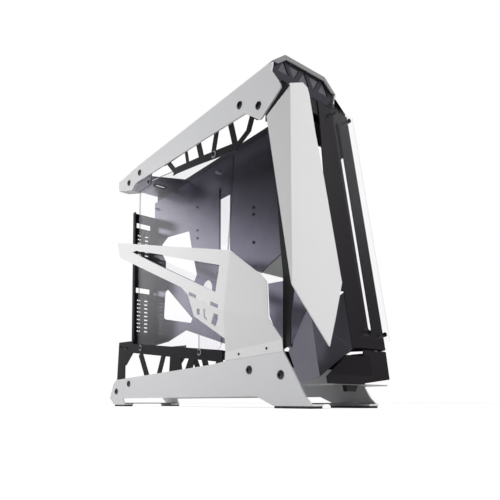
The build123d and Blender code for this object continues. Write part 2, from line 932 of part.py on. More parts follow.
def between(start, end, share):
    return tuple(Vector(*start) + (Vector(*end) - Vector(*start)) * share)


skirt_front = between(fold_middle, flange_rear, 0.66)
relief_drop = 7.0
reliefs = ((0.03, 0.25), (0.66, 0.86))
skirt_plane = facet_plane([fold_middle, relief_rear, skirt_rear, skirt_front])
skirt_cutouts = [
    [(96.4, 19.5), (110, 22.8), (115.9, 36.9), (102.1, 33.5)],
    [(74, 14.5), (79, 14.5), (86.5, 34), (75, 38.5), (73, 35), (80.5, 31.5)],
    [(39.3, 14.5), (24.3, 13.3), (28.9, 24.4), (44.7, 42.5), (60.7, 40.4)],
]

with BuildPart() as side_cover:
    facet([fold_top, fold_middle, relief_rear, blade_heel, blade_tip_foot, blade_tip_top], cover_sheet)
    facet([fold_middle, fold_top, front_high, front_step, ridge_front], cover_sheet)
    facet([fold_middle, ridge_front, flange_front, flange_rear], cover_sheet)
    facet([fold_middle, relief_rear, skirt_rear, skirt_front], -cover_sheet)
    cover_flange = [(-135, 105.5), (-133, 88), (-295, 93), (-293, 115.5)]
    flat(Plane.YZ.offset(body_left), cover_flange, -cover_sheet)
    facet(window_corners, 3 * cover_sheet, Mode.SUBTRACT, True)
    for cutout in skirt_cutouts:
        flat(skirt_plane, cutout, -2 * cover_sheet, Mode.SUBTRACT)
    for start, end in reliefs:
        corner = between(relief_rear, fold_middle, start)
        other = between(relief_rear, fold_middle, end)
        rise = (0, 0, relief_drop)
        facet(
            [corner, other, tuple(Vector(*other) + Vector(*rise)), tuple(Vector(*corner) + Vector(*rise))],
            3 * cover_sheet, Mode.SUBTRACT, True,
        )

# Chin: the folded skirt under the leaning front
chin_sheet = 2.0
chin_fold_top = (body_left + 30, -330, 147)
chin_fold_foot = (body_left + 20, -357, 50)
chin_left_top = (inner_left, -304, 93)
chin_left_foot = (inner_left, -328, 42)
chin_peak = (body_left + 28, -321, 160)
chin_right_foot = tuple(on_front(body_left + 72, -15, 1))
chin_right_top = tuple(on_front(body_left + 91, 74, 1))
valley_top = between(chin_right_top, chin_fold_top, 1.01)
valley_foot = between(chin_right_top, chin_right_foot, 1.04)
chin_plate_top = -15.0
chin_plate_foot = -63.0
chin_floor = 37.0
with BuildPart() as chin_skirt:
    facet([chin_left_top, chin_left_foot, chin_fold_foot, chin_fold_top, chin_peak], -chin_sheet)
    facet([chin_fold_top, chin_fold_foot, chin_right_foot], -chin_sheet)
    facet([valley_top, valley_foot, chin_right_top], -chin_sheet)
    lap = [(-304, 93), (-328, 42), (-314, 42), (-296, 84)]
    flat(Plane.YZ.offset(inner_left), lap, chin_sheet)

chin_stand = 4.0
with BuildPart() as chin_plate:
    plate = [
        (body_left + 100, chin_plate_top),
        (bracket_right, chin_plate_top),
        (bracket_right - 2, chin_plate_foot),
        (body_left + 90, chin_plate_foot - 8),
        (body_left + 60, chin_plate_foot - 8),
        (body_left + 60, chin_plate_top - 13),
        (body_left + 98, chin_plate_top - 13),
    ]
    flat(front_plane, plate, -chin_sheet)
    cheek = [(-385, 50), (-376.5, 96), (-304, 96), (-299, 70), (-324, 44)]
    flat(Plane.YZ.offset(frame_right), cheek, frame_sheet)

with BuildPart() as chin_base:
    base = [
        (inner_left, -326),
        (inner_left, -330),
        (body_left + 20, -359),
        (body_left + 24, -383),
        (frame_right, -383),
        (inner_right, -370),
        (inner_right, -326),
    ]
    flat(Plane.XY.offset(chin_floor), base, chin_sheet)

# Nose of the chin: a shallow box with a slanted flank and a chamfered underside
nose_plane = Plane(origin=on_front(body_left + 108, 0), x_dir=front_plane.z_dir, z_dir=(-1, 0, 0))
with BuildPart() as chin_nose:
    nose = [(0, -27), (chin_stand, -27), (chin_stand, -60), (0, -73)]
    flat(nose_plane, nose, 105)
    flat(
        front_plane,
        [(body_left + 3, -27), (body_left + 54, -27), (body_left + 3, -62)],
        chin_stand, Mode.SUBTRACT,
    )
    flat(
        front_plane,
        [(body_left + 108, -59), (body_left + 108, -74), (body_left + 87, -74)],
        chin_stand, Mode.SUBTRACT,
    )

with BuildPart() as chin_latch:
    latch = [
        (body_left + 55, chin_floor - 10),
        (body_left + 75, chin_floor - 10),
        (body_left + 80, chin_floor),
        (body_left + 52, chin_floor),
    ]
    flat(Plane.XZ.offset(374), latch, 8)

# Front part of the middle wall: pump plate, link and lower plate
with BuildPart() as pump_plate:
    pump = [
        (tray_front - 1, wall_top),
        (header_back, wall_top),
        (header_back, 299),
        (-197, 289),
        (-165, 277),
        (-141, 265),
        (tray_front - 1, 320),
    ]
    flat(Plane.YZ.offset(wall_x), pump, frame_sheet)

with BuildPart() as wall_link:
    link = [(-141, 266), (-166, 284), (header_back, 303), (header_back, 226), (-205, 243)]
    flat(Plane.YZ.offset(wall_x + frame_sheet), link, frame_sheet)

with BuildPart() as lower_wall_plate:
    lower = [
        (-163, 240),
        (-288, 232),
        (-288, footer_top),
        (-262, footer_top),
        (-200, 118),
        (-167, 176),
    ]
    flat(Plane.YZ.offset(wall_x), lower, frame_sheet)

# Power supply bracket between the base plates
supply_y = -133.0
supply_foot = 22.0
supply_top = 84.0
supply_hole_x = 138.0
supply_hole_z = 50.0
supply_hole = 2.0
with BuildPart() as supply_bracket:
    with BuildSketch(Plane.XZ.offset(-supply_y)):
        with Locations(((inner_left + inner_right) / 2, (supply_foot + supply_top) / 2)):
            Rectangle(inner_right - inner_left, supply_top - supply_foot)
            Rectangle(124, 46, mode=Mode.SUBTRACT)
            with GridLocations(supply_hole_x, supply_hole_z, 2, 2):
                Circle(supply_hole, mode=Mode.SUBTRACT)
    extrude(amount=frame_sheet)

# Glass side sheets
glass_rear = 241.0
right_glass_rear = 196.0
glass_top_front = 500.0


def glass_outline(rear):
    return [
        (rear - 29, 545),
        (rear, 531),
        (rear, 135),
        (-60, 98),
        (-82, 97),
        (-110, 119),
        (-138, 358),
        (-149, 477),
        (-127, glass_top_front),
    ]


with BuildPart() as left_glass:
    flat(Plane.YZ.offset(frame_left), glass_outline(glass_rear), glass_sheet)

with BuildPart() as right_glass:
    flat(Plane.YZ.offset(frame_right), glass_outline(right_glass_rear), -glass_sheet)

washer_radius = 7.0
washer_thickness = 1.2
glass_head_radius = 4.6
glass_head_height = 2.4
glass_bolts = [(187, 538.5), (-88, 501), (222, 141), (-39, 111)]
right_glass_bolts = [(182, 538.5), (-88, 501), (180, 136), (-39, 111)]


head_slope = 30.0
socket_share = 0.42
socket_depth_share = 0.6


def button_heads(face_x, outward, places, radius, height):
    """Button heads with sloping flanks and hexagon sockets on a side face."""
    with BuildSketch(Plane.YZ.offset(face_x)) as heads:
        with Locations(*places):
            RegularPolygon(radius, head_sides)
    extrude(heads.sketch, amount=outward * height, taper=head_slope)
    top = Plane.YZ.offset(face_x + outward * height)
    sockets(top, places, radius * socket_share, outward * height * socket_depth_share)


with BuildPart() as glass_washers:
    discs(Plane.YZ.offset(inner_left), glass_bolts, washer_radius, -washer_thickness)
    discs(Plane.YZ.offset(inner_right), right_glass_bolts, washer_radius, washer_thickness)

with BuildPart() as glass_bolt_heads:
    button_heads(inner_left - washer_thickness, -1, glass_bolts, glass_head_radius, glass_head_height)
    button_heads(inner_right + washer_thickness, 1, right_glass_bolts, glass_head_radius, glass_head_height)

head_radius = 6.6
base_head_radius = 8.0
rail_bolt_places = [
    (290, rail_top - 27),
    (231, rail_top - 21),
    (-176, rail_top - 37),
    (-231, rail_top - 63),
]
base_bolt_places = [(349, 38), (277, 56), (-205, 67), (-288, 55)]
with BuildPart() as rail_bolts:
    button_heads(body_left, -1, rail_bolt_places, head_radius, bolt_head_height)
    button_heads(body_right, 1, rail_bolt_places, head_radius, bolt_head_height)

with BuildPart() as base_bolts:
    button_heads(body_left, -1, base_bolt_places, base_head_radius, bolt_head_height)
    button_heads(body_right, 1, base_bolt_places, base_head_radius, bolt_head_height)

cover_screw_places = [(-176.5, 97), (-254, 101)]
cover_screw_radius = 2.6
cover_screw_height = 1.2
with BuildPart() as cover_screws:
    button_heads(cover_x, -1, cover_screw_places, cover_screw_radius, cover_screw_height)

post_bolt_places = [(337, 151), (300, 146)]
with BuildPart() as post_bolts:
    button_heads(inner_left, -1, post_bolt_places, 4.6, bolt_head_height)
    button_heads(inner_right, 1, post_bolt_places, 4.6, bolt_head_height)

slot_screw_radius = 3.4
slot_screw_height = 2.0
slot_screw_places = [
    (x, foot + slot_height + cover_overlap / 2) for foot in (upper_slot_foot, lower_slot_foot) for x in slot_columns
]
with BuildPart() as slot_screws:
    discs(Plane.XZ.offset(-rear_panel_y - slot_cover_sheet), slot_screw_places, slot_screw_radius, -slot_screw_height)

bracket_screw_heights = [64, 190, 296]
bracket_screw_radius = 3.2
bracket_screw_height = 1.6
with BuildPart() as bracket_screws:
    screw_plane = Plane(origin=on_front(bracket_right, 0), x_dir=front_plane.z_dir, z_dir=(1, 0, 0))
    discs(screw_plane, [(-bracket_fold / 2, -height) for height in bracket_screw_heights],
          bracket_screw_radius, bracket_screw_height)

# Bolt heads on the middle wall, seen through the glass
plate_bolt_places = [(-117, 404), (-117, 390), (-118, 332), (-218, 404), (-218, 332)]
plate_bolt_radius = 3.0
plate_bolt_height = 1.6
with BuildPart() as plate_bolts:
    discs(Plane.YZ.offset(wall_x), plate_bolt_places, plate_bolt_radius, -plate_bolt_height)
    discs(Plane.YZ.offset(wall_x - frame_sheet), strip_bolts, plate_bolt_radius, -plate_bolt_height)

os.makedirs("parts", exist_ok=True)
left_base_plate.part.label = "left_base_plate"
right_base_plate.part.label = "right_base_plate"
foot_ties.part.label = "foot_ties"
foot_pads.part.label = "foot_pads"
left_top_rail.part.label = "left_top_rail"
right_top_rail.part.label = "right_top_rail"
top_hood.part.label = "top_hood"
port_block.part.label = "port_block"
power_button.part.label = "power_button"
hood_grille.part.label = "hood_grille"
left_upper_truss.part.label = "left_upper_truss"
right_upper_truss.part.label = "right_upper_truss"
left_lower_truss.part.label = "left_lower_truss"
right_lower_truss.part.label = "right_lower_truss"
top_rear_plate.part.label = "top_rear_plate"
cable_grommets.part.label = "cable_grommets"
top_spine.part.label = "top_spine"
motherboard_tray.part.label = "motherboard_tray"
board_standoffs.part.label = "board_standoffs"
tray_strip.part.label = "tray_strip"
drive_plate.part.label = "drive_plate"
rear_panel.part.label = "rear_panel"
upper_slot_covers.part.label = "upper_slot_covers"
lower_slot_covers.part.label = "lower_slot_covers"
left_front_frame.part.label = "left_front_frame"
right_front_frame.part.label = "right_front_frame"
front_header.part.label = "front_header"
front_footer.part.label = "front_footer"
radiator_bracket.part.label = "radiator_bracket"
front_strip.part.label = "front_strip"
clear_spacers.part.label = "clear_spacers"
clear_sheet_front.part.label = "clear_sheet_front"
clear_screws.part.label = "clear_screws"
left_wing.part.label = "left_wing"
wing_spacers.part.label = "wing_spacers"
side_cover.part.label = "side_cover"
chin_skirt.part.label = "chin_skirt"
chin_plate.part.label = "chin_plate"
chin_base.part.label = "chin_base"
chin_nose.part.label = "chin_nose"
chin_latch.part.label = "chin_latch"
pump_plate.part.label = "pump_plate"
wall_link.part.label = "wall_link"
lower_wall_plate.part.label = "lower_wall_plate"
supply_bracket.part.label = "supply_bracket"
left_glass.part.label = "left_glass"
right_glass.part.label = "right_glass"
glass_washers.part.label = "glass_washers"
glass_bolt_heads.part.label = "glass_bolt_heads"
rail_bolts.part.label = "rail_bolts"
base_bolts.part.label = "base_bolts"
cover_screws.part.label = "cover_screws"
post_bolts.part.label = "post_bolts"
slot_screws.part.label = "slot_screws"
bracket_screws.part.label = "bracket_screws"
plate_bolts.part.label = "plate_bolts"

export_step(left_base_plate.part, "parts/left_base_plate.step")
export_step(right_base_plate.part, "parts/right_base_plate.step")
export_step(foot_ties.part, "parts/foot_ties.step")
export_step(foot_pads.part, "parts/foot_pads.step")
export_step(left_top_rail.part, "parts/left_top_rail.step")
export_step(right_top_rail.part, "parts/right_top_rail.step")
export_step(top_hood.part, "parts/top_hood.step")
export_step(port_block.part, "parts/port_block.step")
export_step(power_button.part, "parts/power_button.step")
export_step(hood_grille.part, "parts/hood_grille.step")
export_step(left_upper_truss.part, "parts/left_upper_truss.step")
export_step(right_upper_truss.part, "parts/right_upper_truss.step")
export_step(left_lower_truss.part, "parts/left_lower_truss.step")
export_step(right_lower_truss.part, "parts/right_lower_truss.step")
export_step(top_rear_plate.part, "parts/top_rear_plate.step")
export_step(cable_grommets.part, "parts/cable_grommets.step")
export_step(top_spine.part, "parts/top_spine.step")
export_step(motherboard_tray.part, "parts/motherboard_tray.step")
export_step(board_standoffs.part, "parts/board_standoffs.step")
export_step(tray_strip.part, "parts/tray_strip.step")
export_step(drive_plate.part, "parts/drive_plate.step")
export_step(rear_panel.part, "parts/rear_panel.step")
export_step(upper_slot_covers.part, "parts/upper_slot_covers.step")
export_step(lower_slot_covers.part, "parts/lower_slot_covers.step")
export_step(left_front_frame.part, "parts/left_front_frame.step")
export_step(right_front_frame.part, "parts/right_front_frame.step")
export_step(front_header.part, "parts/front_header.step")
export_step(front_footer.part, "parts/front_footer.step")
export_step(radiator_bracket.part, "parts/radiator_bracket.step")
export_step(front_strip.part, "parts/front_strip.step")
export_step(clear_spacers.part, "parts/clear_spacers.step")
export_step(clear_sheet_front.part, "parts/clear_sheet_front.step")
export_step(clear_screws.part, "parts/clear_screws.step")
export_step(left_wing.part, "parts/left_wing.step")
export_step(wing_spacers.part, "parts/wing_spacers.step")
export_step(side_cover.part, "parts/side_cover.step")
export_step(chin_skirt.part, "parts/chin_skirt.step")
export_step(chin_plate.part, "parts/chin_plate.step")
export_step(chin_base.part, "parts/chin_base.step")
export_step(chin_nose.part, "parts/chin_nose.step")
export_step(chin_latch.part, "parts/chin_latch.step")
export_step(pump_plate.part, "parts/pump_plate.step")
export_step(wall_link.part, "parts/wall_link.step")
export_step(lower_wall_plate.part, "parts/lower_wall_plate.step")
export_step(supply_bracket.part, "parts/supply_bracket.step")
export_step(left_glass.part, "parts/left_glass.step")
export_step(right_glass.part, "parts/right_glass.step")
export_step(glass_washers.part, "parts/glass_washers.step")
export_step(glass_bolt_heads.part, "parts/glass_bolt_heads.step")
export_step(rail_bolts.part, "parts/rail_bolts.step")
export_step(base_bolts.part, "parts/base_bolts.step")
export_step(cover_screws.part, "parts/cover_screws.step")
export_step(post_bolts.part, "parts/post_bolts.step")
export_step(slot_screws.part, "parts/slot_screws.step")
export_step(bracket_screws.part, "parts/bracket_screws.step")
export_step(plate_bolts.part, "parts/plate_bolts.step")
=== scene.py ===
# %% [markdown]
# # An open-frame tower case, dressed for its portrait
#
# The folded sheets, the glass, the bolts and the button are modelled in CAD and come in as a fixed
# frame. This notebook gives each of them its finish, adds the small trim that CAD leaves out, and sets
# up a white studio with one camera. Everything is in metres, with the floor at zero height, the
# leaning front towards minus Y and the photographed side towards minus X.

import math

import bmesh
import bpy
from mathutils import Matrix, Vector


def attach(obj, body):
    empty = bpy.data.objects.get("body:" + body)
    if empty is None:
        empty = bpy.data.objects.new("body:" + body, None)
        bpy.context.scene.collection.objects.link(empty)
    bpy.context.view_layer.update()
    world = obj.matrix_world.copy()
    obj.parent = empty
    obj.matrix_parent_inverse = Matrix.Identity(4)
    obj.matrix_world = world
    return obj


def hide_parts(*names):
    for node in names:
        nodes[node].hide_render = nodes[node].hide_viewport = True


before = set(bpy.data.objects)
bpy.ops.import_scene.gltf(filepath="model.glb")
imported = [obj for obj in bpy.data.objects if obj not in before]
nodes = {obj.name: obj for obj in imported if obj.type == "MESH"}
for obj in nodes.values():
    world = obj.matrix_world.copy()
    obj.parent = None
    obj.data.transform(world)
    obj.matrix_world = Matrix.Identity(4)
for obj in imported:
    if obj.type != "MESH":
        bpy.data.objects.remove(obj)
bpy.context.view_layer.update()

# %% [markdown]
# ## A small language for finishes
#
# A finish is a network of nodes. Wiring each one by hand hides the idea behind it, so a `Wire` wraps
# one socket and lets Python's own signs add the maths nodes: `1 - mask * 0.3` reads as it works.
# Numbers are worked out by these signs. Colours go through a Mix node, because a maths node would turn
# them grey. Every other kind of node comes from one method, `Finish.node`.

# %% Wires and finishes


class Wire:
    """One socket of a finish, which can take part in sums."""

    def __init__(self, finish, socket):
        self.finish = finish
        self.socket = socket

    def sum(self, operation, first, second):
        return self.finish.node("ShaderNodeMath", {"operation": operation}, {0: first, 1: second})

    def __add__(self, other):
        return self.sum("ADD", self, other)

    def __radd__(self, other):
        return self.sum("ADD", other, self)

    def __sub__(self, other):
        return self.sum("SUBTRACT", self, other)

    def __rsub__(self, other):
        return self.sum("SUBTRACT", other, self)

    def __mul__(self, other):
        return self.sum("MULTIPLY", self, other)

    def __rmul__(self, other):
        return self.sum("MULTIPLY", other, self)


class Finish:
    """A material with one principled shader, built up node by node."""

    def __init__(self, name, **constants):
        self.material = bpy.data.materials.new(name)
        self.material.use_nodes = True
        self.tree = self.material.node_tree
        self.shader = self.tree.nodes["Principled BSDF"]
        self.output = self.tree.nodes["Material Output"]
        for socket, value in constants.items():
            self.shader.inputs[socket.replace("_", " ")].default_value = value

    def node(self, kind, settings=None, inputs=None, out=0):
        """Any node: its type, its settings, then the values or wires of its sockets."""
        made = self.tree.nodes.new(kind)
        for setting, value in (settings or {}).items():
            if setting == "stops":
                self.set_stops(made.color_ramp, value)
            else:
                setattr(made, setting, value)
        for socket, value in (inputs or {}).items():
            if isinstance(value, Wire):
                self.tree.links.new(value.socket, made.inputs[socket])
            else:
                made.inputs[socket].default_value = value
        return Wire(self, made.outputs[out])

    def set_stops(self, ramp, stops):
        for index, (place, colour) in enumerate(stops):
            stop = ramp.elements[index] if index < 2 else ramp.elements.new(place)
            stop.position = place
            stop.color = (*colour, 1)

    def feed(self, socket, wire):
        """Leads a varying value into the shader."""
        self.tree.links.new(wire.socket, self.shader.inputs[socket])

    def place(self):
        """Where a point is on the object, in metres."""
        return self.node("ShaderNodeTexCoord", out="Object")

    def noise(self, scale, detail=3.0, roughness=0.5):
        return self.node("ShaderNodeTexNoise", {}, {
            "Vector": self.place(), "Scale": scale, "Detail": detail, "Roughness": roughness})

    def mix(self, share, first, second):
        """A colour between two others."""
        return self.node("ShaderNodeMix", {"data_type": "RGBA"}, {
            "Factor": share, 6: first, 7: second}, out=2)

    def bump(self, height, distance, strength=1.0):
        return self.node("ShaderNodeBump", {}, {
            "Height": height, "Distance": distance, "Strength": strength}, out="Normal")


def rgb(red, green, blue):
    return (red, green, blue, 1.0)


def dress(finish, *names):
    """Gives CAD nodes a finish in place of the plain one they came with."""
    for name in names:
        for seat in nodes[name].material_slots:
            seat.material = finish.material
    print(finish.material.name, "on", len(names))


# %% [markdown]
# ## The pale powder coat
#
# Rails, base plates, the wing and the side cover are taken to be aluminium sheet under a white powder
# coat. Such a coat is satin, with a very fine orange peel where the powder melted, and it is never quite
# even: broad patches are a shade cooler or warmer, and handling leaves it a little smoother in places.
# Noises of four scales give these three things. The wing, rails and base plates are written a little
# darker than the cover, and that darkening is painted shade, not a second paint. That was set so that
# most of their faces come nearer to the photograph, but the front end of the near base plate gets
# further from it. It says nothing about the real coat.

# %% Pale powder coat


def powder_coat(name, shade, cool, roughness, peel, specular=0.4, coat_weight=0.08):
    """Powder melted onto sheet: two close tones, an even gloss and a fine orange peel."""
    coat = Finish(name, Roughness=roughness, Coat_Weight=coat_weight, Coat_Roughness=0.25)
    coat.shader.inputs["Specular IOR Level"].default_value = specular
    patches = coat.noise(3.5, 2.0)
    grain = coat.noise(1400.0, 2.0)
    coat.feed("Base Color", coat.mix(patches * 0.8 + grain * 0.2, rgb(*shade), rgb(*cool)))
    coat.feed("Roughness", coat.noise(9.0, 4.0) * 0.14 + (roughness - 0.07))
    coat.feed("Normal", coat.bump(coat.noise(620.0, 2.0), peel))
    return coat


white_coat = powder_coat("white_powder_coat", (0.84, 0.84, 0.84), (0.80, 0.80, 0.81), 0.42, 0.00006)
# The next two coats are copies of the white coat made darker as painted shade, for the rails, base plates
# and wing.
painted_shade_coat = powder_coat("painted_shade_powder_coat", (0.76, 0.76, 0.77), (0.71, 0.715, 0.73), 0.42, 0.00006)
wing_painted_shade_coat = powder_coat("wing_painted_shade_powder_coat", (0.76, 0.76, 0.76), (0.71, 0.71, 0.72), 0.42, 0.00006)
dress(white_coat, "side_cover")
dress(wing_painted_shade_coat, "left_wing")
dress(painted_shade_coat, "left_base_plate", "right_base_plate", "left_top_rail", "right_top_rail")

# %% [markdown]
# ## The dark sheets
#
# The inner frame is taken to be the same sheet in near black coats. The front frame and the upper
# trusses are satin, the lower trusses, the rear panel and the chin's nose are matt, and the grille and
# slot covers have a violet cast under a thin gloss. The hood is a plain mid grey, and the wall link and
# the chin's base are a grey green. All five come from the powder coat above, and three mirror less.

# %% Dark coats
front_coat = powder_coat("front_black_coat", (0.013, 0.0115, 0.0125), (0.021, 0.018, 0.021), 0.34,
                         0.00004, specular=0.2, coat_weight=0.0)
matt_coat = powder_coat("matt_black_coat", (0.012, 0.0105, 0.0125), (0.019, 0.017, 0.02), 0.42,
                        0.00004, specular=0.07, coat_weight=0.0)
dark_coat = powder_coat("dark_powder_coat", (0.024, 0.021, 0.031), (0.038, 0.034, 0.048), 0.30,
                        0.00004, specular=0.4, coat_weight=0.15)
hood_coat = powder_coat("hood_grey_coat", (0.25, 0.25, 0.255), (0.27, 0.27, 0.275), 0.5,
                        0.00006, specular=0.2, coat_weight=0.0)
sage_coat = powder_coat("pale_sage_coat", (0.30, 0.32, 0.31), (0.36, 0.38, 0.37), 0.38, 0.00004)
dress(front_coat, "right_front_frame", "front_header", "front_footer", "radiator_bracket", "chin_plate",
      "left_front_frame", "front_strip", "chin_latch", "left_upper_truss", "right_upper_truss")
dress(matt_coat, "chin_nose", "left_lower_truss", "right_lower_truss", "rear_panel", "supply_bracket")
dress(dark_coat, "foot_ties", "hood_grille", "top_spine", "drive_plate", "upper_slot_covers",
      "lower_slot_covers")
dress(hood_coat, "top_hood")
dress(sage_coat, "wall_link", "chin_base")

# %% [markdown]
# ## The dyed metal sheets
#
# The tray and the plates beside it look dyed more than painted: in the photograph they run from near
# black at the top to lilac lower down, as a tinted metal does that mirrors its room. So they are built
# as metal with a dyed layer. This is read from the picture and isn't known of the real sheets.

# %% Dyed metal


def anodised(name, colour, lighter, metallic, roughness):
    """A dark dyed layer on aluminium: the metal's own sheen shows through the dye."""
    layer = Finish(name, Metallic=metallic, Roughness=roughness)
    layer.feed("Base Color", layer.mix(layer.noise(30.0, 5.0, 0.7), rgb(*colour), rgb(*lighter)))
    layer.feed("Roughness", layer.noise(7.0, 3.0) * 0.1 + (roughness - 0.05))
    layer.feed("Normal", layer.bump(layer.noise(900.0, 2.0), 0.00003))
    return layer


violet_layer = anodised("violet_grey_anodised", (0.19, 0.183, 0.235), (0.25, 0.243, 0.30), 1.0, 0.25)
chin_layer = anodised("blue_grey_anodised", (0.2, 0.197, 0.24), (0.24, 0.237, 0.28), 0.9, 0.3)
dress(violet_layer, "motherboard_tray", "pump_plate", "tray_strip", "lower_wall_plate")
dress(chin_layer, "top_rear_plate", "chin_skirt")

# %% [markdown]
# ## Glass and the clear front sheet
#
# Clear sheet is mostly what is behind it. A solid refracting block would keep the lamps out of the
# case, so the sheet is a mix: a transparent part with a faint violet tint, and a mirror part whose
# share grows as the eye looks along the sheet. The facing value of a Layer Weight node is the same from
# inside and outside the sheet, where a Fresnel node would turn the back of each pane into a mirror.

# %% Clear sheets
front_lean = math.radians(10.3)
front_facing = (0.0, -math.cos(front_lean), math.sin(front_lean))


def clear_sheet(name, tint, least, most, face, edge_share):
    """Clear sheet: its mirror share runs from least to most, with more on the cut edges."""
    sheet = Finish(name, Roughness=0.03, Metallic=1.0)
    turn = sheet.node("ShaderNodeNewGeometry", out="Normal")
    flat_on = sheet.node("ShaderNodeVectorMath", {"operation": "DOT_PRODUCT"}, {0: turn, 1: face},
                         out="Value")
    edge = 1 - flat_on * flat_on
    sheet.feed("Base Color", sheet.mix(edge, rgb(0.9, 0.9, 0.94), rgb(0.55, 0.56, 0.66)))
    smears = sheet.noise(14.0, 5.0, 0.65)
    sheet.feed("Roughness", smears * 0.06 + 0.015)
    slant = sheet.node("ShaderNodeLayerWeight", {}, {"Blend": 0.5}, out="Facing")
    slant = slant * slant
    share = slant * slant * (most - least) + least + edge * edge_share
    see_through = sheet.node("ShaderNodeBsdfTransparent", {}, {"Color": tint}, out="BSDF")
    mixed = sheet.tree.nodes.new("ShaderNodeMixShader")
    sheet.tree.links.new(share.socket, mixed.inputs[0])
    sheet.tree.links.new(see_through.socket, mixed.inputs[1])
    sheet.tree.links.new(sheet.shader.outputs[0], mixed.inputs[2])
    sheet.tree.links.new(mixed.outputs[0], sheet.output.inputs["Surface"])
    return sheet


glass = clear_sheet("clear_glass", rgb(0.985, 0.98, 0.99), 0.008, 0.6, (1.0, 0.0, 0.0), 0.5)
acrylic = clear_sheet("clear_acrylic", rgb(0.985, 0.985, 0.99), 0.01, 0.3, front_facing, 0.12)
dress(glass, "left_glass", "right_glass")
dress(acrylic, "clear_sheet_front")

# %% [markdown]
# ## Fasteners, spacers, rubber and plastic
#
# Bolts are taken to be blackened steel: a dark metal whose polish varies where the driver has turned.
# The spacers are taken to be bare turned aluminium with fine rings. Rubber and plastic are matt, with a
# moulded grain.

# %% Small parts


def metal(name, colour, worn, roughness, scale):
    """Bare or blackened metal with marks of the given fineness."""
    finish = Finish(name, Metallic=1.0, Roughness=roughness)
    marks = finish.noise(scale, 4.0, 0.6)
    finish.feed("Base Color", finish.mix(marks, rgb(*colour), rgb(*worn)))
    finish.feed("Roughness", marks * 0.2 + (roughness - 0.1))
    finish.feed("Normal", finish.bump(finish.noise(scale * 3, 2.0), 0.00003))
    return finish


def moulded(name, colour, lighter, roughness, scale, depth):
    """Rubber or plastic with the small cells of a sparked mould."""
    finish = Finish(name, Roughness=roughness)
    cells = finish.node("ShaderNodeTexVoronoi", {}, {"Vector": finish.place(), "Scale": scale})
    finish.feed("Base Color", finish.mix(finish.noise(60.0), rgb(*colour), rgb(*lighter)))
    finish.feed("Roughness", finish.noise(200.0) * 0.12 + (roughness - 0.06))
    finish.feed("Normal", finish.bump(cells, depth))
    return finish


blackened = metal("blackened_steel", (0.035, 0.034, 0.037), (0.09, 0.088, 0.09), 0.34, 500.0)
turned = metal("turned_aluminium", (0.55, 0.55, 0.57), (0.68, 0.68, 0.7), 0.3, 900.0)
rubber = moulded("black_rubber", (0.016, 0.016, 0.017), (0.03, 0.03, 0.032), 0.75, 900.0, 0.00008)
# The washers' lighter grey is partly their own colour and partly a painted highlight, for the bright ring
# round each glass bolt.
washer_grey = moulded("washer_grey", (0.30, 0.30, 0.33), (0.38, 0.38, 0.41), 0.5, 1500.0, 0.00003)
plastic = moulded("black_plastic", (0.02, 0.02, 0.022), (0.032, 0.032, 0.035), 0.5, 1500.0, 0.00003)
# The near-black socket colour is painted shade for the hollow of each hexagon socket, not a separate
# material.
socket_painted_shade = moulded("socket_painted_shade", (0.006, 0.006, 0.006), (0.01, 0.01, 0.01), 0.7, 900.0, 0.00002)
dress(blackened, "glass_bolt_heads", "rail_bolts", "base_bolts", "post_bolts", "cover_screws",
      "slot_screws", "bracket_screws", "clear_screws", "plate_bolts")
dress(turned, "clear_spacers", "wing_spacers", "board_standoffs")
dress(rubber, "foot_pads", "cable_grommets")
dress(plastic, "port_block", "power_button")
dress(washer_grey, "glass_washers")

# %% [markdown]
# ## Sheets that the frame holds in a plainer form
#
# Three sheets at the front are cut closer here than in the CAD model: the post of the left frame is
# narrow at its foot, so that the blue-grey chin shows beside it, the chin's second facet climbs up
# behind the wing, and the front strip runs down beside it. Each is an outline with a thickness, as
# sheet is, with its cut edges broken by a hair. Outlines are in millimetres, as a drawing has them.

# %% Cut sheets
edge_break = 0.0003


def cut_sheets(name, outlines, depth, finish, replaced):
    """Flat sheets of one piece: outlines in space, each carried through by the same depth."""
    mesh = bpy.data.meshes.new(name)
    builder = bmesh.new()
    for outline in outlines:
        near = [builder.verts.new(corner) for corner in outline]
        far = [builder.verts.new(Vector(corner) + Vector(depth)) for corner in outline]
        builder.faces.new(near)
        builder.faces.new(list(reversed(far)))
        for first in range(len(outline)):
            second = (first + 1) % len(outline)
            builder.faces.new([near[second], near[first], far[first], far[second]])
    bmesh.ops.recalc_face_normals(builder, faces=builder.faces)
    builder.to_mesh(mesh)
    builder.free()
    mesh.materials.append(finish.material)
    piece = bpy.data.objects.new(name, mesh)
    bpy.context.scene.collection.objects.link(piece)
    broken = piece.modifiers.new("broken_edges", "BEVEL")
    broken.width = edge_break
    broken.segments = 1
    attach(piece, "case")
    if replaced:
        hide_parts(*replaced)
    print(name, "sheets", len(outlines))
    return piece


def millimetres(*corners):
    return [tuple(value / 1000 for value in corner) for corner in corners]


front_foot_y = -375.0
front_foot_z = 110.0


def on_front(across, up, out=0.0):
    """A point of the leaning front, in millimetres."""
    return (across, front_foot_y + up * math.sin(front_lean) - out * math.cos(front_lean),
            front_foot_z + up * math.cos(front_lean) + out * math.sin(front_lean))


# %% Post of the left front frame
frame_sheet = 0.002
side_left = -57.5
post_x = side_left + 3.0
post_outline = [
    (-309, 100), (-302, 101), (-292, 97), (-290, 62), (-272, 62), (-272, 108), (-290, 112),
    (-290.5, 222), (-284.6, 266), (-279, 320), (-275.5, 370), (-254, 497), (-246, 500),
    (-246, 553), (-290, 553), (-302, 542), (-259, 508), (-263, 503), (-309, 466), (-318, 200),
    (-309, 147),
]
cut_sheets("front_post", [millimetres(*[(post_x, y, z) for y, z in post_outline])],
           (frame_sheet, 0, 0), front_coat, ["left_front_frame"])

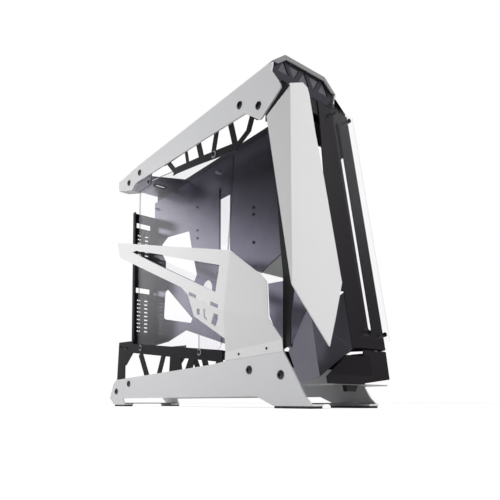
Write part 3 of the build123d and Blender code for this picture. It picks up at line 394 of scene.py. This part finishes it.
# %% Front strip
strip_outline = [
    (46, 86), (72, 82), (72, -14), (91, -12), (93, 281), (98, 440), (79, 440), (78, 412),
    (67, 297), (46, 284),
]
into_case = (0, frame_sheet * math.cos(front_lean), -frame_sheet * math.sin(front_lean))
cut_sheets("long_front_strip", [millimetres(*[on_front(side_left + x, h, 2) for x, h in strip_outline])],
           into_case, front_coat, ["front_strip"])

# %% Chin

chin_step = (0.0012, 0.0018, 0)
chin_top = (side_left + 30, -330, 147)
chin_foot = (side_left + 20, -357, 50)
chin_corner = on_front(side_left + 72, -15, 1)
chin_head = on_front(side_left + 72, 80, 1)
chin_facets = [
    millimetres((post_x, -304, 93), (post_x, -328, 42), chin_foot, chin_top, (side_left + 28, -321, 160)),
    millimetres(chin_top, chin_foot, chin_corner),
    millimetres(chin_top, chin_corner, chin_head),
]
cut_sheets("folded_chin", chin_facets, chin_step, chin_layer, ["chin_skirt"])

# %% [markdown]
# ## Bolt heads
#
# The button heads are turned: a short upright rim, a dome and a hexagon socket. Each is a stack of
# rings, and the rings of the socket are pulled into a hexagon. The walls and floor of the socket are
# given a near-black colour as painted shade, for the hollow that the light does not reach.

# %% Turned heads


def ring(builder, centre, outward, radius, height, hexagon=False, segments=36):
    """A ring of corners round an axis along X."""
    corners = []
    half_flat = math.pi / 6
    for step in range(segments):
        turn = 2 * math.pi * step / segments
        reach = radius
        if hexagon:
            reach = radius / math.cos((turn + half_flat) % (2 * half_flat) - half_flat)
        corners.append(builder.verts.new((
            centre[0] + outward * height,
            centre[1] + reach * math.cos(turn),
            centre[2] + reach * math.sin(turn))))
    return corners


def turned_heads(name, sides, radius, height, finish, replaced, socket=0.42):
    """Button heads on side faces: sides is a list of (face x, outward, places in millimetres)."""
    mesh = bpy.data.meshes.new(name)
    builder = bmesh.new()
    profile = [(1.0, 0.0, False), (1.0, 0.45, False), (0.93, 0.72, False), (0.78, 0.93, False),
               (0.62, 1.0, False), (socket, 1.0, True), (socket, 0.3, True)]
    dome_bands = 4
    socket_band = 5
    for face_x, outward, places in sides:
        for y, z in places:
            centre = (face_x / 1000, y / 1000, z / 1000)
            rings = [ring(builder, centre, outward, radius * share / 1000, height * lift / 1000, hexagon)
                     for share, lift, hexagon in profile]
            for lower, (near, far) in enumerate(zip(rings, rings[1:])):
                for first in range(len(near)):
                    second = (first + 1) % len(near)
                    face = builder.faces.new([near[first], near[second], far[second], far[first]])
                    face.smooth = lower < dome_bands
                    face.material_index = 1 if lower == socket_band else 0
            builder.faces.new(rings[-1]).material_index = 1
            builder.faces.new(list(reversed(rings[0])))
    bmesh.ops.recalc_face_normals(builder, faces=builder.faces)
    builder.to_mesh(mesh)
    builder.free()
    mesh.materials.append(finish.material)
    mesh.materials.append(socket_painted_shade.material)
    piece = bpy.data.objects.new(name, mesh)
    bpy.context.scene.collection.objects.link(piece)
    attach(piece, "case")
    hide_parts(*replaced)
    print(name, "heads", sum(len(places) for _, _, places in sides))


side_right = side_left + 160.0
rail_places = [(290, 570), (231, 576), (-176, 560), (-231, 534)]
base_places = [(349, 38), (277, 56), (-205, 67), (-288, 55)]
turned_heads("rail_bolt_heads", [(side_left, -1, rail_places), (side_right, 1, rail_places)],
             7.1, 3.0, blackened, ["rail_bolts"])
turned_heads("base_bolt_heads", [(side_left, -1, base_places), (side_right, 1, base_places)],
             7.6, 3.0, blackened, ["base_bolts"])

glass_inset = 1.8
left_glass_places = [(187, 538.5), (-88, 501), (222, 141), (-39, 111)]
right_glass_places = [(182, 538.5), (-88, 501), (180, 136), (-39, 111)]
turned_heads("glass_bolt_buttons", [
    (side_left + glass_inset, -1, left_glass_places),
    (side_right - glass_inset, 1, right_glass_places)], 4.6, 2.4, blackened, ["glass_bolt_heads"])

# %% [markdown]
# ## The dust filter behind the grille
#
# A plain grey shows through the triangles of the hood's grille. It is taken to be a woven filter that
# closes them from behind. At this distance its holes would be finer than the picture, so it is a thin
# sheet with a woven bump.

# %% Filter
filter_cloth = Finish("filter_weave", Roughness=0.6)


def threads_along(direction):
    """Evenly spaced threads of the filter, running one way."""
    return filter_cloth.node("ShaderNodeTexWave", {"wave_type": "BANDS", "bands_direction": direction}, {
        "Vector": filter_cloth.place(), "Scale": 320.0, "Distortion": 0.0})


threads = threads_along("X")
cross_threads = threads_along("Z")
woven = filter_cloth.mix(threads * cross_threads, rgb(0.10, 0.10, 0.11), rgb(0.22, 0.22, 0.235))
filter_cloth.feed("Base Color", woven)
filter_cloth.feed("Normal", filter_cloth.bump(threads + cross_threads, 0.0001))

filter_y = -261.6
filter_thickness = 0.0006
filter_outline = [(9, 586), (9, 600), (32, 613), (128, 613), (151, 600), (151, 586)]
cut_sheets("grille_filter", [millimetres(*[(side_left + x, filter_y, z) for x, z in filter_outline])],
           (0, filter_thickness, 0), filter_cloth, [])

# %% [markdown]
# ## The floor
#
# The photograph is taken against pure white. The floor is a white sheet with a faint gloss. What the
# camera sees of it is lifted towards white by asking whether a ray comes from the camera, a reflection
# or a see-through surface, so no extra light falls on the case, and the floor still keeps its shadow
# and a faint mirror image. Seen from higher up, its far part still comes out grey.

# %% Floor
floor_mesh = bpy.data.meshes.new("floor")
floor_builder = bmesh.new()
floor_reach = 9.0
floor_corners = [(-1, -1), (1, -1), (1, 1), (-1, 1)]
floor_builder.faces.new([
    floor_builder.verts.new((x * floor_reach, y * floor_reach, 0)) for x, y in floor_corners])
floor_builder.to_mesh(floor_mesh)
floor_builder.free()
floor = bpy.data.objects.new("floor", floor_mesh)
bpy.context.scene.collection.objects.link(floor)

floor_lift = 0.78
floor_gloss = 0.16
floor_finish = Finish("white_floor", Roughness=0.6)
floor_finish.shader.inputs["Base Color"].default_value = rgb(0.82, 0.82, 0.82)
floor_finish.shader.inputs["Specular IOR Level"].default_value = 0.0
rays = floor_finish.tree.nodes.new("ShaderNodeLightPath")
seen = Wire(floor_finish, rays.outputs["Is Camera Ray"]) + Wire(floor_finish, rays.outputs["Is Glossy Ray"])
seen = seen + Wire(floor_finish, rays.outputs["Is Transmission Ray"])
floor_finish.shader.inputs["Emission Strength"].default_value = floor_lift
floor_finish.feed("Emission Color", floor_finish.mix(seen, rgb(0, 0, 0), rgb(1, 1, 1)))
mirror = floor_finish.node("ShaderNodeBsdfGlossy", {}, {"Color": rgb(1, 1, 1), "Roughness": 0.06},
                           out="BSDF")
floor_mix = floor_finish.tree.nodes.new("ShaderNodeMixShader")
floor_mix.inputs[0].default_value = floor_gloss
floor_finish.tree.links.new(floor_finish.shader.outputs[0], floor_mix.inputs[1])
floor_finish.tree.links.new(mirror.socket, floor_mix.inputs[2])
floor_finish.tree.links.new(floor_mix.outputs[0], floor_finish.output.inputs["Surface"])
floor_mesh.materials.append(floor_finish.material)

# %% [markdown]
# ## The white room
#
# What is seen straight on, or through the glass, is pure white. The light that the room throws on the
# case is weaker. What the sheets mirror is a third thing, and here the room is not white: it is mostly
# dark, with a pale wall low down at the rear left, a screen high in front and one on the left. With a
# white room in its place, the top of the tray and the chin's second facet come out much paler than in
# the photograph. The levels were set against that one picture, so from another side, or in other
# light, the sheets may look different.
# Each of these is a soft step of how far a ray heads one way, and the steps are multiplied and added.

# %% World
room_light = 0.42
world = bpy.data.worlds.new("white_room")
bpy.context.scene.world = world
world.use_nodes = True
air = world.node_tree
backdrop = air.nodes["Background"]
backdrop.inputs["Color"].default_value = rgb(1, 1, 1)


def air_node(kind, settings=None, inputs=None, out=0):
    """A node of the world, with values or other nodes' sockets led into it."""
    made = air.nodes.new(kind)
    for setting, value in (settings or {}).items():
        setattr(made, setting, value)
    for socket, value in (inputs or {}).items():
        if hasattr(value, "links"):
            air.links.new(value, made.inputs[socket])
        else:
            made.inputs[socket].default_value = value
    return made.outputs[out]


def air_sum(operation, first, second):
    return air_node("ShaderNodeMath", {"operation": operation}, {0: first, 1: second})


def towards(direction):
    """How far a ray heads in a direction."""
    return air_node("ShaderNodeVectorMath", {"operation": "DOT_PRODUCT"}, {0: heading, 1: direction}, out=1)


def soft_step(value, start, end, before, after):
    """A level that changes smoothly from one value to another."""
    return air_node("ShaderNodeMapRange", {"interpolation_type": "SMOOTHSTEP"}, {
        "Value": value, "From Min": start, "From Max": end, "To Min": before, "To Max": after})


heading = air_node("ShaderNodeTexCoord", out=0)
height = air_node("ShaderNodeSeparateXYZ", {}, {0: heading}, out=2)

# %% What the sheets mirror
fades_upwards = soft_step(towards((-0.5, 0.0, 1.0)), 0.55, 0.635, 1.75, 0.0)
fades_downwards = soft_step(height, 0.03, 0.25, 0.2, 1.0)
at_the_rear = soft_step(towards((-0.67, 0.74, 0.0)), 0.3, 0.62, 0.05, 1.0)
rear_wall = air_sum("MULTIPLY", air_sum("MULTIPLY", fades_upwards, fades_downwards), at_the_rear)

in_front = soft_step(towards((0.7, -0.71, 0.0)), 0.3, 0.7, 0.0, 1.0)
high_up = soft_step(height, 0.36, 0.6, 0.0, 0.5)
front_screen = air_sum("MULTIPLY", in_front, high_up)
left_screen = soft_step(towards((-0.86, -0.1, 0.5)), 0.88, 0.99, 0.02, 0.8)
mirrored = air_sum("ADD", air_sum("ADD", rear_wall, front_screen), left_screen)

# %% One level for each kind of ray
paths = air.nodes.new("ShaderNodeLightPath")
looked_at = air_sum("MAXIMUM", paths.outputs["Is Camera Ray"], paths.outputs["Is Transmission Ray"])
by_gloss = air_node("ShaderNodeMix", {}, {0: paths.outputs["Is Glossy Ray"], 2: room_light, 3: mirrored})
level = air_node("ShaderNodeMix", {}, {0: looked_at, 2: by_gloss, 3: 1.0})
air.links.new(level, backdrop.inputs["Strength"])
print("world nodes", len(air.nodes))

# %% [markdown]
# ## Lamps
#
# The tones on the case hint at where the light came from. The blade and the wing's front face are the
# brightest, the base plates and the rails' rear ends are next, and the facet under the fold and the side
# of the wing are darkest. The two soft boxes were placed to come near that: one close on the
# left, a little behind the middle, and a larger one far off in front on the right. Both are hidden from
# reflections. Mirrored, they hardly change the tray, but they make the foot of the front strip and the
# chin's plate paler than in the photograph.

# %% Lamps


def soft_box(name, place, target, size, power):
    lamp = bpy.data.lights.new(name, "AREA")
    lamp.size = size
    lamp.energy = power
    holder = bpy.data.objects.new(name, lamp)
    holder.location = place
    holder.rotation_euler = (Vector(target) - Vector(place)).to_track_quat("-Z", "Y").to_euler()
    holder.visible_camera = False
    holder.visible_glossy = False
    bpy.context.scene.collection.objects.link(holder)
    print(name, power, "W")


case_middle = (0.0, 0.0, 0.32)
cover_middle = (-0.08, -0.05, 0.3)
soft_box("left_box", (-1.0, 0.3, 0.42), cover_middle, 0.6, 4.8)
soft_box("front_right_box", (1.1, -2.1, 0.9), case_middle, 1.2, 32.0)

# %% [markdown]
# ## The camera
#
# The photograph looks at the near left corner from just above the floor, with its lens shifted up so
# that upright edges stay almost upright. A level camera worked out from the two points where the long
# edges of the case run together needs a shift of 0.313, which cuts off much of the lower part of the
# case in views from its other sides. This one tips up by three degrees and shifts 0.25. It lies between
# two cameras fitted to the level one, and moves the corners of the case by 1.6 pixels (root mean square)
# and 3.2 at most from there. The other views hold more of the case, but its feet are still cut off.

# %% Camera
lens_reach = 515.3
picture_width = 500.0
tip = 93.0348
heading_angle = -39.0017
camera = bpy.data.cameras.new("camera")
camera.sensor_width = 36.0
camera.lens = camera.sensor_width * lens_reach / picture_width
camera.shift_y = 0.25
camera.shift_x = -0.01025
camera.clip_start = 0.01
camera_holder = bpy.data.objects.new("camera", camera)
camera_holder.location = (-0.6191, -0.91505, 0.01005)
camera_holder.rotation_euler = (math.radians(tip), 0.0, math.radians(heading_angle))
bpy.context.scene.collection.objects.link(camera_holder)
bpy.context.scene.camera = camera_holder
bpy.context.scene.view_settings.view_transform = "Standard"
print("lens", round(camera.lens, 2), "mm")
